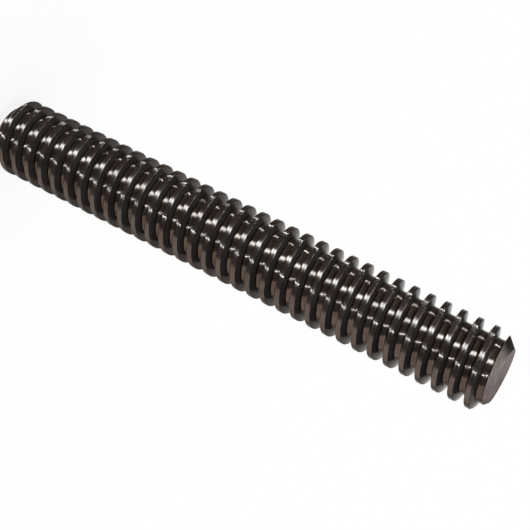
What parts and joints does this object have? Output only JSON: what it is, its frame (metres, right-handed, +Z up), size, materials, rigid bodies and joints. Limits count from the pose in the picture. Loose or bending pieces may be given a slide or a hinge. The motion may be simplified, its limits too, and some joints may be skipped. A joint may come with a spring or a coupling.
{
  "type": "trapezoidal lead screw",
  "caption": "Straight trapezoidal lead screw with a right-hand thread along its whole length and a deep chamfer on each end.",
  "frame": {"origin": "centre of the bottom end face, on the screw's axis", "axes": "+Z up along the screw's axis, from the bottom end face to the top one; X and Y square to it, with the groove centred on the bottom face's level at +X"},
  "size_m": [0.024, 0.024, 0.17],
  "materials": {
    "screw": "dark polished thread, bare turned ends"
  },
  "bodies": {
    "root": {"lead_screw": "screw"}
  },
  "joints": []
}
